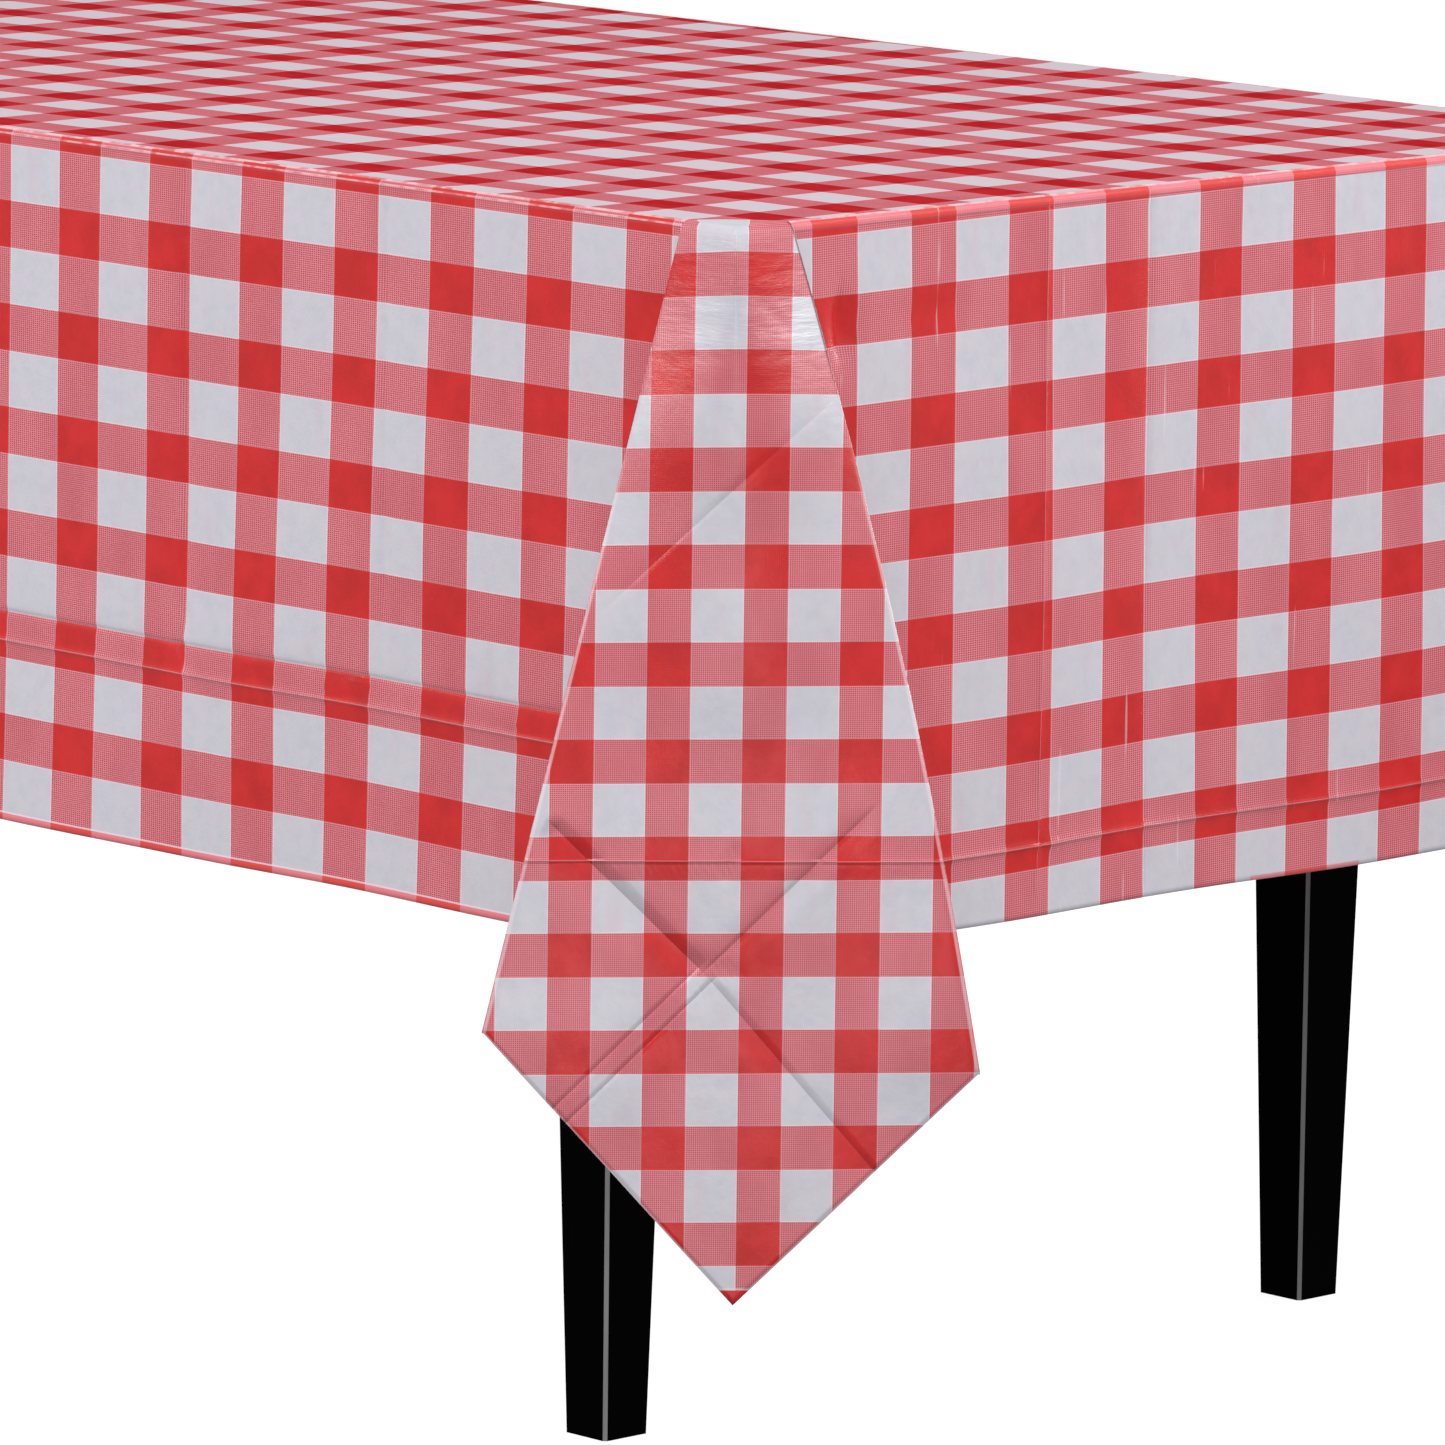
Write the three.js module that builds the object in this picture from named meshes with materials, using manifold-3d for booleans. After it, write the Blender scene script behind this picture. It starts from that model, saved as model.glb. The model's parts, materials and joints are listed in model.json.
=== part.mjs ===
// A rectangular dining table on four tapered square legs, with a thin plastic tablecloth
// hanging over it. Millimetres, +Z up. The origin is on the floor under the middle of the
// table, +X runs along the table, and -Y is the front long side.
import * as THREE from 'three';
import { ConvexGeometry } from 'three/addons/geometries/ConvexGeometry.js';
import { mergeVertices } from 'three/addons/utils/BufferGeometryUtils.js';
import Module from 'manifold-3d';

const wasm = await Module();
wasm.setup();

// ---- Driving dimensions ---------------------------------------------------------------
const GAP = 0.3; // left between two faces that touch on the real object

const TABLE_HEIGHT = 760; // floor to the upper face of the wooden top
const TOP_LENGTH = 1830;
const TOP_WIDTH = 800;
const TOP_THICKNESS = 25;
const TOP_CORNER_RADIUS = 6; // in plan
const TOP_EDGE_BEVEL = 2.5; // rounded arris along both edges of the board

const LEG_SIZE = 64; // square head of a leg
const FOOT_SIZE = 36; // square foot of a leg
const LEG_CHAMFER = 2; // cut off each long edge of a leg
const LEG_END_INSET = 168; // end of the top to the outer face of a leg
const LEG_SIDE_INSET = 63; // long side of the top to the outer face of a leg

const APRON_HEIGHT = 100;
const APRON_THICKNESS = 20;
const APRON_SETBACK = 6; // outer face of a leg to the outer face of an apron

const RAIL_THICKNESS = 24; // cross rail under the middle of the top
const RAIL_HEIGHT = 60;

const BRACE_HEIGHT = 60;
const BRACE_THICKNESS = 25;
const BRACE_LEG_GAP = 9; // tightening room between a leg's inner edge and its brace

const BOLT_RADIUS = 4;
const BOLT_IN_LEG = 42; // length of the hanger bolt held in the leg
const BOLT_BEYOND_NUT = 8;
const WASHER_RADIUS = 10;
const WASHER_THICKNESS = 1.6;
const NUT_ACROSS_FLATS = 13;
const NUT_HEIGHT = 6.5;

const SCREW_RADIUS = 2;
const SCREW_HEAD_RADIUS = 4;
const SCREW_HEAD_HEIGHT = 3;
const SCREW_POINT = 4; // length of the tapered point
const SCREW_BITE = 14; // how far a screw goes into the second piece

const CLOTH_THICKNESS = 1.5;
const CLOTH_DROP = 434; // top of the cloth to the hem
const EAR_TOP_WIDTH = 64; // hanging corner of the cloth, where it leaves the table
const EAR_FOLD_WIDTH = 290; // widest, between its two folds
const EAR_FOLD_DEPTH = 482; // below the top of the cloth
const EAR_LENGTH = CLOTH_DROP * Math.SQRT2 + 18; // the diagonal of the corner square, and slack
const EAR_STANDOFF = 6; // front of the ear from the corner of the drops, at the top
const EAR_LEAN = 30; // how much further out the tip hangs

// ---- Derived levels and places ----------------------------------------------------------
const UNDERSIDE = TABLE_HEIGHT - TOP_THICKNESS;
const FRAME_TOP = UNDERSIDE - GAP;
const APRON_BOTTOM = FRAME_TOP - APRON_HEIGHT;
const CLOTH_BASE = TABLE_HEIGHT + GAP;
const CLOTH_TOP = CLOTH_BASE + CLOTH_THICKNESS;
const HEM = CLOTH_TOP - CLOTH_DROP;
const CLOTH_HALF_X = TOP_LENGTH / 2 + GAP + CLOTH_THICKNESS;
const CLOTH_HALF_Y = TOP_WIDTH / 2 + GAP + CLOTH_THICKNESS;
const LEG_OUTER_X = TOP_LENGTH / 2 - LEG_END_INSET;
const LEG_OUTER_Y = TOP_WIDTH / 2 - LEG_SIDE_INSET;
const APRON_INNER = APRON_SETBACK + APRON_THICKNESS; // from a leg's outer face
const SCREW_BORE = SCREW_RADIUS + GAP;
const BOLT_BORE = BOLT_RADIUS + GAP;
const BRACE_Z = FRAME_TOP - BRACE_HEIGHT / 2;
const ROUND_STEPS = 12;

// ---- Finishes ---------------------------------------------------------------------------
const finish = (color, roughness, metalness) => () =>
  new THREE.MeshStandardMaterial({ color, roughness, metalness });
const clothFilm = finish(0xe0656c, 0.35, 0);
const blackPaint = finish(0x0b0b0b, 0.5, 0);
const topBoard = finish(0xb08a5c, 0.6, 0);
const beech = finish(0xc8a678, 0.65, 0);
const zincSteel = finish(0xb9bdc2, 0.35, 0.9);

// ---- Helpers ----------------------------------------------------------------------------
const table = new THREE.Group();

function place(name, geometry, material, parent = table) {
  const mesh = new THREE.Mesh(geometry, material());
  mesh.name = name;
  parent.add(mesh);
  return mesh;
}

// A closed geometry with shared vertices, as an exact solid for cutting.
function solid(geometry) {
  const bare = geometry.clone();
  bare.deleteAttribute('normal');
  bare.deleteAttribute('uv');
  const merged = mergeVertices(bare, 1e-3);
  return new wasm.Manifold(new wasm.Mesh({
    numProp: 3,
    vertProperties: new Float32Array(merged.attributes.position.array),
    triVerts: new Uint32Array(merged.index.array),
  }));
}

function surface(body) {
  const mesh = body.getMesh();
  const geometry = new THREE.BufferGeometry();
  geometry.setAttribute('position', new THREE.BufferAttribute(mesh.vertProperties, 3));
  geometry.setIndex(new THREE.BufferAttribute(mesh.triVerts, 1));
  geometry.computeVertexNormals();
  return geometry;
}

function cut(geometry, tools) {
  const body = tools.reduce((rest, tool) => rest.subtract(solid(tool)), solid(geometry));
  return surface(body);
}

// A bore of the given radius from point a to point b.
function bore(a, b, radius) {
  const axis = b.clone().sub(a);
  const cylinder = new THREE.CylinderGeometry(radius, radius, axis.length(), ROUND_STEPS);
  cylinder.applyQuaternion(new THREE.Quaternion().setFromUnitVectors(
    new THREE.Vector3(0, 1, 0), axis.clone().normalize()));
  const middle = a.clone().add(b).multiplyScalar(0.5);
  return cylinder.translate(middle.x, middle.y, middle.z);
}

function board(sizeX, sizeY, sizeZ, x, y, z) {
  return new THREE.BoxGeometry(sizeX, sizeY, sizeZ).translate(x, y, z);
}

function roundedPlan(halfX, halfY, radius) {
  const plan = new THREE.Shape();
  plan.moveTo(-halfX + radius, -halfY);
  plan.lineTo(halfX - radius, -halfY);
  plan.absarc(halfX - radius, -halfY + radius, radius, -Math.PI / 2, 0);
  plan.lineTo(halfX, halfY - radius);
  plan.absarc(halfX - radius, halfY - radius, radius, 0, Math.PI / 2);
  plan.lineTo(-halfX + radius, halfY);
  plan.absarc(-halfX + radius, halfY - radius, radius, Math.PI / 2, Math.PI);
  plan.lineTo(-halfX, -halfY + radius);
  plan.absarc(-halfX + radius, -halfY + radius, radius, Math.PI, Math.PI * 1.5);
  return plan;
}

// ---- Screws -------------------------------------------------------------------------------
// A countersunk wood screw along +Z: head at z = 0, point at z = length.
function screwGeometry(length) {
  const profile = [
    new THREE.Vector2(0, 0),
    new THREE.Vector2(SCREW_HEAD_RADIUS, 0),
    new THREE.Vector2(SCREW_RADIUS, SCREW_HEAD_HEIGHT),
    new THREE.Vector2(SCREW_RADIUS, length - SCREW_POINT),
    new THREE.Vector2(0, length),
  ];
  const turned = new THREE.LatheGeometry(profile, ROUND_STEPS).rotateX(Math.PI / 2);
  const slot = board(SCREW_RADIUS * 2.4, 0.9, 2, 0, 0, 0);
  return cut(turned, [slot, slot.clone().rotateZ(Math.PI / 2)]);
}

// A screw placed by the centre of its head and its direction, with the two bores that it
// needs: one through both pieces for the shank, and a wider one behind it for the head.
function drive(name, head, direction, length, recess) {
  const towards = direction.clone().normalize();
  const mesh = place(name, screwGeometry(length), zincSteel);
  mesh.position.copy(head);
  mesh.quaternion.setFromUnitVectors(new THREE.Vector3(0, 0, 1), towards);
  const along = (distance) => head.clone().addScaledVector(towards, distance);
  return [
    bore(along(0), along(length + GAP), SCREW_BORE),
    bore(along(-recess), along(SCREW_HEAD_HEIGHT + GAP), SCREW_HEAD_RADIUS + GAP),
  ];
}

// ---- The four corners of the frame ----------------------------------------------------------
const CORNERS = [
  { name: 'front_right', x: 1, y: -1 },
  { name: 'front_left', x: -1, y: -1 },
  { name: 'back_right', x: 1, y: 1 },
  { name: 'back_left', x: -1, y: 1 },
];

// Corner coordinates: i runs inward along X and j inward along Y from a leg's outer edges.
function inward(corner, i, j, z) {
  return new THREE.Vector3(corner.x * (LEG_OUTER_X - i), corner.y * (LEG_OUTER_Y - j), z);
}

function onDiagonal(corner, distance, z) {
  return inward(corner, distance / Math.SQRT2, distance / Math.SQRT2, z);
}

// Distances along the diagonal from a leg's outer edge towards the middle of the table.
const LEG_INNER_EDGE = LEG_SIZE * Math.SQRT2;
const BRACE_NEAR = LEG_INNER_EDGE + BRACE_LEG_GAP;
const BRACE_FAR = BRACE_NEAR + BRACE_THICKNESS;
const BOLT_START = LEG_INNER_EDGE - BOLT_IN_LEG;
const WASHER_START = BRACE_FAR + GAP;
const NUT_START = WASHER_START + WASHER_THICKNESS + GAP;
const BOLT_END = NUT_START + NUT_HEIGHT + BOLT_BEYOND_NUT;

// Where the two faces of a brace meet the inner face of an apron.
const BRACE_FACE = APRON_INNER + GAP;
const BRACE_NEAR_END = BRACE_NEAR * Math.SQRT2 - BRACE_FACE;
const BRACE_FAR_END = BRACE_FAR * Math.SQRT2 - BRACE_FACE;

function octagon(size, z) {
  const half = size / 2;
  const flat = half - LEG_CHAMFER;
  const points = [];
  for (const [a, b] of [[half, flat], [flat, half]]) {
    for (const [sx, sy] of [[1, 1], [1, -1], [-1, 1], [-1, -1]]) {
      points.push(new THREE.Vector3(a * sx, b * sy, z));
    }
  }
  return points;
}

// A leg about its own axis: square behind the aprons, then tapered down to the foot.
function legGeometry() {
  return new ConvexGeometry([
    ...octagon(FOOT_SIZE, 0),
    ...octagon(LEG_SIZE, APRON_BOTTOM),
    ...octagon(LEG_SIZE, FRAME_TOP),
  ]);
}

function addLeg(corner) {
  const axis = inward(corner, LEG_SIZE / 2, LEG_SIZE / 2, 0);
  const blank = legGeometry().translate(axis.x, axis.y, 0);
  const boltHole = bore(
    onDiagonal(corner, BOLT_START - GAP, BRACE_Z),
    onDiagonal(corner, LEG_INNER_EDGE + GAP, BRACE_Z),
    BOLT_BORE);
  place(`leg_${corner.name}`, cut(blank, [boltHole]), blackPaint);
}

function addBolt(corner) {
  const inwards = new THREE.Vector3(-corner.x, -corner.y, 0).normalize();
  const hardware = new THREE.Group();
  hardware.position.copy(onDiagonal(corner, 0, BRACE_Z));
  hardware.quaternion.setFromUnitVectors(new THREE.Vector3(0, 0, 1), inwards);
  table.add(hardware);

  const length = BOLT_END - BOLT_START;
  const rod = [
    new THREE.Vector2(0, 0),
    new THREE.Vector2(BOLT_RADIUS * 0.4, 0),
    new THREE.Vector2(BOLT_RADIUS, BOLT_RADIUS),
    new THREE.Vector2(BOLT_RADIUS, length - 1),
    new THREE.Vector2(BOLT_RADIUS - 1, length),
    new THREE.Vector2(0, length),
  ];
  const bolt = new THREE.LatheGeometry(rod, ROUND_STEPS).rotateX(Math.PI / 2);
  bolt.rotateX(Math.PI).translate(0, 0, length);
  place(`hanger_bolt_${corner.name}`, bolt, zincSteel, hardware).position.z = BOLT_START;

  const ring = new THREE.Shape().absarc(0, 0, WASHER_RADIUS, 0, Math.PI * 2);
  ring.holes.push(new THREE.Path().absarc(0, 0, BOLT_BORE, 0, Math.PI * 2, true));
  const washer = new THREE.ExtrudeGeometry(ring, {
    depth: WASHER_THICKNESS, bevelEnabled: false, curveSegments: ROUND_STEPS,
  });
  place(`washer_${corner.name}`, washer, zincSteel, hardware).position.z = WASHER_START;

  const hexagon = new THREE.Shape(Array.from({ length: 6 }, (_, side) => {
    const turn = (side * Math.PI) / 3;
    const radius = NUT_ACROSS_FLATS / Math.sqrt(3);
    return new THREE.Vector2(radius * Math.cos(turn), radius * Math.sin(turn));
  }));
  hexagon.holes.push(new THREE.Path().absarc(0, 0, BOLT_BORE, 0, Math.PI * 2, true));
  const nut = new THREE.ExtrudeGeometry(hexagon, {
    depth: NUT_HEIGHT, bevelEnabled: false, curveSegments: ROUND_STEPS,
  });
  place(`nut_${corner.name}`, nut, zincSteel, hardware).position.z = NUT_START;
}

// The brace is a block across the inside of the corner, cut to meet both aprons. Its bolt
// goes through the middle, a screw through each end holds an apron, and one more goes up
// into the top. Returns the bores that the aprons and the top need.
function addBrace(corner) {
  const ends = [
    [BRACE_NEAR_END, BRACE_FACE],
    [BRACE_FAR_END, BRACE_FACE],
    [BRACE_FACE, BRACE_FAR_END],
    [BRACE_FACE, BRACE_NEAR_END],
  ].map(([i, j]) => inward(corner, i, j, 0));
  const block = new THREE.ExtrudeGeometry(
    new THREE.Shape(ends.map((point) => new THREE.Vector2(point.x, point.y))),
    { depth: BRACE_HEIGHT, bevelEnabled: false }).translate(0, 0, FRAME_TOP - BRACE_HEIGHT);

  const boltHole = bore(
    onDiagonal(corner, BRACE_NEAR - 1, BRACE_Z),
    onDiagonal(corner, BRACE_FAR + 1, BRACE_Z),
    BOLT_BORE);

  const endMiddle = (BRACE_NEAR_END + BRACE_FAR_END) / 2;
  const headDepth = APRON_INNER + (BRACE_FAR_END - BRACE_NEAR_END) * 0.3;
  const sideLength = headDepth - APRON_INNER + Math.min(SCREW_BITE, APRON_THICKNESS - 4);
  const recess = BRACE_THICKNESS;
  const intoLongApron = drive(`brace_screw_${corner.name}_long_side`,
    inward(corner, endMiddle, headDepth, BRACE_Z),
    new THREE.Vector3(0, corner.y, 0), sideLength, recess);
  const intoEndApron = drive(`brace_screw_${corner.name}_end`,
    inward(corner, headDepth, endMiddle, BRACE_Z),
    new THREE.Vector3(corner.x, 0, 0), sideLength, recess);

  const middle = (BRACE_NEAR + BRACE_FAR) / Math.SQRT2 / 2;
  const aside = (endMiddle - middle) * 0.5;
  const headLevel = FRAME_TOP - BRACE_HEIGHT / 2;
  const intoTop = drive(`top_screw_${corner.name}`,
    inward(corner, middle + aside, middle - aside, headLevel),
    new THREE.Vector3(0, 0, 1), UNDERSIDE - headLevel + SCREW_BITE, BRACE_HEIGHT);

  const holes = [boltHole, ...intoLongApron, ...intoEndApron, ...intoTop];
  place(`corner_brace_${corner.name}`, cut(block, holes), beech);
  return { intoLongApron, intoEndApron, intoTop };
}

// ---- Aprons, cross rail and top ---------------------------------------------------------------
const LONG_APRON_LENGTH = 2 * (LEG_OUTER_X - LEG_SIZE - GAP);
const END_APRON_LENGTH = 2 * (LEG_OUTER_Y - LEG_SIZE - GAP);
const APRON_CENTRE = APRON_SETBACK + APRON_THICKNESS / 2;
const APRON_Z = FRAME_TOP - APRON_HEIGHT / 2;

function addLongApron(name, side, holes) {
  const blank = board(LONG_APRON_LENGTH, APRON_THICKNESS, APRON_HEIGHT,
    0, side * (LEG_OUTER_Y - APRON_CENTRE), APRON_Z);
  place(name, cut(blank, holes), blackPaint);
}

function addEndApron(name, side, holes) {
  const blank = board(APRON_THICKNESS, END_APRON_LENGTH, APRON_HEIGHT,
    side * (LEG_OUTER_X - APRON_CENTRE), 0, APRON_Z);
  place(name, cut(blank, holes), blackPaint);
}

// The cross rail runs between the long aprons at mid length. A screw through each apron
// holds it, and two screws go up through it into the top.
function addCrossRail() {
  const reach = LEG_OUTER_Y - APRON_INNER - GAP;
  const railZ = FRAME_TOP - RAIL_HEIGHT / 2;
  const sides = { front: -1, back: 1 };
  const intoRail = {};
  const intoTop = [];
  const holes = [];
  for (const [name, side] of Object.entries(sides)) {
    const outerFace = LEG_OUTER_Y - APRON_SETBACK;
    intoRail[name] = drive(`rail_screw_${name}`,
      new THREE.Vector3(0, side * (outerFace - 1), railZ),
      new THREE.Vector3(0, -side, 0), APRON_THICKNESS + SCREW_BITE * 2, 5);
    const headLevel = FRAME_TOP - RAIL_HEIGHT / 2;
    const up = drive(`top_screw_rail_${name}`,
      new THREE.Vector3(0, side * reach / 2, headLevel),
      new THREE.Vector3(0, 0, 1), UNDERSIDE - headLevel + SCREW_BITE, RAIL_HEIGHT);
    intoTop.push(...up);
    holes.push(...intoRail[name], ...up);
  }
  const blank = board(RAIL_THICKNESS, 2 * reach, RAIL_HEIGHT, 0, 0, railZ);
  place('cross_rail', cut(blank, holes), beech);
  return { intoRail, intoTop };
}

function addTop(holes) {
  const plan = roundedPlan(TOP_LENGTH / 2 - TOP_EDGE_BEVEL, TOP_WIDTH / 2 - TOP_EDGE_BEVEL,
    TOP_CORNER_RADIUS - TOP_EDGE_BEVEL);
  const blank = new THREE.ExtrudeGeometry(plan, {
    depth: TOP_THICKNESS - 2 * TOP_EDGE_BEVEL,
    bevelThickness: TOP_EDGE_BEVEL,
    bevelSize: TOP_EDGE_BEVEL,
    bevelSegments: 2,
    curveSegments: 4,
  }).translate(0, 0, UNDERSIDE + TOP_EDGE_BEVEL);
  place('tabletop', cut(blank, holes), topBoard);
}

// ---- Tablecloth -----------------------------------------------------------------------------
// One sheet on the real object. Here it is divided along its folds: the part that lies on
// the table, four drops, and the folded ear that hangs from each corner.
function addClothTop() {
  const cover = new THREE.ExtrudeGeometry(
    roundedPlan(CLOTH_HALF_X, CLOTH_HALF_Y, TOP_CORNER_RADIUS),
    { depth: CLOTH_THICKNESS, bevelEnabled: false, curveSegments: 4 });
  place('tablecloth_top', cover.translate(0, 0, CLOTH_BASE), clothFilm);
}

function addDrops() {
  const dropTop = CLOTH_BASE - GAP;
  const height = dropTop - HEM;
  const level = (dropTop + HEM) / 2;
  const frontY = CLOTH_HALF_Y - CLOTH_THICKNESS / 2;
  const endX = CLOTH_HALF_X - CLOTH_THICKNESS / 2;
  const endLength = 2 * (CLOTH_HALF_Y - CLOTH_THICKNESS - GAP);
  const longDrop = (y) => board(2 * CLOTH_HALF_X, CLOTH_THICKNESS, height, 0, y, level);
  const endDrop = (x) => board(CLOTH_THICKNESS, endLength, height, x, 0, level);
  place('tablecloth_front_drop', longDrop(-frontY), clothFilm);
  place('tablecloth_back_drop', longDrop(frontY), clothFilm);
  place('tablecloth_left_drop', endDrop(-endX), clothFilm);
  place('tablecloth_right_drop', endDrop(endX), clothFilm);
}

// The ear hangs across a corner of the table, drawn here facing -Y with the corner of the
// drops at the origin and the top of the cloth at z = 0. Its front is a kite, and from the
// two slanting folds the cloth goes back behind it to the corner.
function earGeometry() {
  const frontAt = (depth) => EAR_STANDOFF + (EAR_LEAN * depth) / EAR_LENGTH;
  const halfAt = (depth) =>
    (EAR_TOP_WIDTH + ((EAR_FOLD_WIDTH - EAR_TOP_WIDTH) * depth) / EAR_FOLD_DEPTH) / 2;
  const section = (depth, half, front, back) => [
    new THREE.Vector3(-half, -front, -depth),
    new THREE.Vector3(half, -front, -depth),
    new THREE.Vector3(0, -back, -depth),
  ];
  const outer = new ConvexGeometry([
    ...section(GAP, halfAt(0), frontAt(0), GAP),
    ...section(EAR_FOLD_DEPTH, halfAt(EAR_FOLD_DEPTH), frontAt(EAR_FOLD_DEPTH),
      frontAt(EAR_FOLD_DEPTH)),
    new THREE.Vector3(0, -GAP, -CLOTH_DROP),
    new THREE.Vector3(0, -frontAt(EAR_LENGTH), -EAR_LENGTH),
  ]);

  // The space between the front and the two folded-back layers, open downwards.
  const hollowAt = (depth) => {
    const front = frontAt(depth) - CLOTH_THICKNESS;
    const back = GAP + CLOTH_THICKNESS * 1.1;
    const slope = (frontAt(depth) - GAP) / halfAt(depth);
    return section(depth, (front - back) / slope, front, back);
  };
  const start = EAR_FOLD_DEPTH * 0.2;
  const hollow = new ConvexGeometry([...hollowAt(start), ...hollowAt(EAR_LENGTH + 10)]);
  return cut(outer, [hollow]);
}

function addEar(corner) {
  const ear = place(`tablecloth_corner_${corner.name}`, earGeometry(), clothFilm);
  ear.position.set(corner.x * CLOTH_HALF_X, corner.y * CLOTH_HALF_Y, CLOTH_TOP);
  ear.rotation.z = Math.atan2(corner.x, -corner.y);
}

// ---- Assembly ---------------------------------------------------------------------------------
const apronHoles = { front: [], back: [], left: [], right: [] };
const topHoles = [];
for (const corner of CORNERS) {
  addLeg(corner);
  addBolt(corner);
  const bores = addBrace(corner);
  apronHoles[corner.y < 0 ? 'front' : 'back'].push(...bores.intoLongApron);
  apronHoles[corner.x < 0 ? 'left' : 'right'].push(...bores.intoEndApron);
  topHoles.push(...bores.intoTop);
}
const rail = addCrossRail();
addLongApron('apron_front', -1, [...apronHoles.front, ...rail.intoRail.front]);
addLongApron('apron_back', 1, [...apronHoles.back, ...rail.intoRail.back]);
addEndApron('apron_left', -1, apronHoles.left);
addEndApron('apron_right', 1, apronHoles.right);
addTop([...topHoles, ...rail.intoTop]);

addClothTop();
addDrops();
CORNERS.forEach(addEar);

export default table;
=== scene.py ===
"""Looks for a checked plastic tablecloth on a long table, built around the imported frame.

The cloth is one continuous thin sheet: the top, four flat drops, and a folded ear at each corner.
Cloth sizes are in millimetres until the mesh is made; everything else is in metres.
"""
import json
import math

import bmesh
import bpy
import numpy as np
from mathutils import Matrix, Vector


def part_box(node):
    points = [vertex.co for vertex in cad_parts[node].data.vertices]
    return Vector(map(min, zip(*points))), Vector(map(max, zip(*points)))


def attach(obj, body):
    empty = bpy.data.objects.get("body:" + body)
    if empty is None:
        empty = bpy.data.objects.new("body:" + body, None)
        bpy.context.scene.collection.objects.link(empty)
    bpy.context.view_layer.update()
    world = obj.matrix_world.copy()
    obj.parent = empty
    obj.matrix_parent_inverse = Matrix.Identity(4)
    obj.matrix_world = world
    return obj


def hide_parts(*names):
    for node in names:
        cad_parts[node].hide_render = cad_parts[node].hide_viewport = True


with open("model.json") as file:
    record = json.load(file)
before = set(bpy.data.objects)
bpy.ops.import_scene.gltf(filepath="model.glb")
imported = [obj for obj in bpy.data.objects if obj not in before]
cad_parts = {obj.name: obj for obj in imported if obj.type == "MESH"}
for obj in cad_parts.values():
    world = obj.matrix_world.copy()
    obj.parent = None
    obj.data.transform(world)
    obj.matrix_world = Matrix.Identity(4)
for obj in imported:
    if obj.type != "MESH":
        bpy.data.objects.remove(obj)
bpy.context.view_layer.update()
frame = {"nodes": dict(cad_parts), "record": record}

MM = 0.001


def box_mm(node):
    low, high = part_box(node)
    return np.array(low) / MM, np.array(high) / MM


# Sizes from the frame, in millimetres.
TOP_Z = box_mm("tablecloth_top")[1][2]
HALF_X = box_mm("tablecloth_right_drop")[1][0]
HALF_Y = -box_mm("tablecloth_front_drop")[0][1]
DROP = TOP_Z - box_mm("tablecloth_front_drop")[0][2]

# Driving sizes of the sheet, in millimetres.
FILM = 0.4
BEND = 4.5  # radius of the film over the table's edge
BEND_STEPS = 5
EAR_REACH = 44.5  # from a table corner to where an ear's fold starts, along either edge
VALLEY_REACH = 12  # from the corner to the end of a drop, at the hem
HEM = 7  # height of the lowest rows of a drop, which are closer together
EAR_OUT = 3.5  # front of an ear from the table's corner, just under the top
EAR_LEAN = 0.036  # how far it leans out, for each unit of depth
FOLD_TURN = (0.25, 0.5, 0.75, 1)  # steps of the half turn at an ear's edge
UNDER_STEPS = 7  # steps of the layer under an ear
UNDER_SLACK = 15  # how far that layer hangs behind the straight way to the drop
FAR = 999  # stands for "nowhere near" in the distances to edges
SHARP_ANGLE = math.radians(65)  # edges of the sheet that turn more than this stay crisp


# ---------------------------------------------------------------- helpers


def smooth(x):
    x = np.clip(x, 0, 1)
    return x * x * (3 - 2 * x)


def waves(x, y, length, seed):
    """A gentle, repeatable unevenness between about -1 and 1."""
    draw = np.random.default_rng(seed)
    total = 0
    for _ in range(7):
        turn = draw.uniform(0, math.tau)
        phase = draw.uniform(0, math.tau)
        stretch = draw.uniform(0.6, 1.8)
        along = x * math.cos(turn) + y * math.sin(turn)
        total = total + np.sin(along * math.tau / (length * stretch) + phase)
    return total / 3.5


class Crease:
    """A pressed line on one region of the sheet: a ridge, or a valley where height is below 0.

    width is how far it spreads to its left and its right, seen from its start. sharp and fine are
    the height and the spread of its crisp middle, which the film's material adds.
    """

    def __init__(self, region, start, end, height, width, sharp=0, fine=(2, 2), fade=18):
        self.region = region
        self.start = np.array(start, float)
        self.end = np.array(end, float)
        self.height = height
        self.width = width if isinstance(width, tuple) else (width, width)
        self.sharp = sharp
        self.fine = fine
        self.fade = fade

    def rise(self, a, b):
        along = self.end - self.start
        length = np.hypot(*along)
        along = along / length
        t = (a - self.start[0]) * along[0] + (b - self.start[1]) * along[1]
        off = (b - self.start[1]) * along[0] - (a - self.start[0]) * along[1]
        off = np.maximum(off / self.width[0], -off / self.width[1])
        ends = smooth(t / self.fade + 0.5) * smooth((length - t) / self.fade + 0.5)
        return self.height * np.maximum(0, 1 - off) ** 1.3 * ends


# Where each region of the sheet lies in the "Lay" UV map, in millimetres.
REGIONS = ["top", "front", "right", "back", "left", "ear"]
LAY_STEP = 2500


def lay_shift(region):
    return REGIONS.index(region) * LAY_STEP


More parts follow.
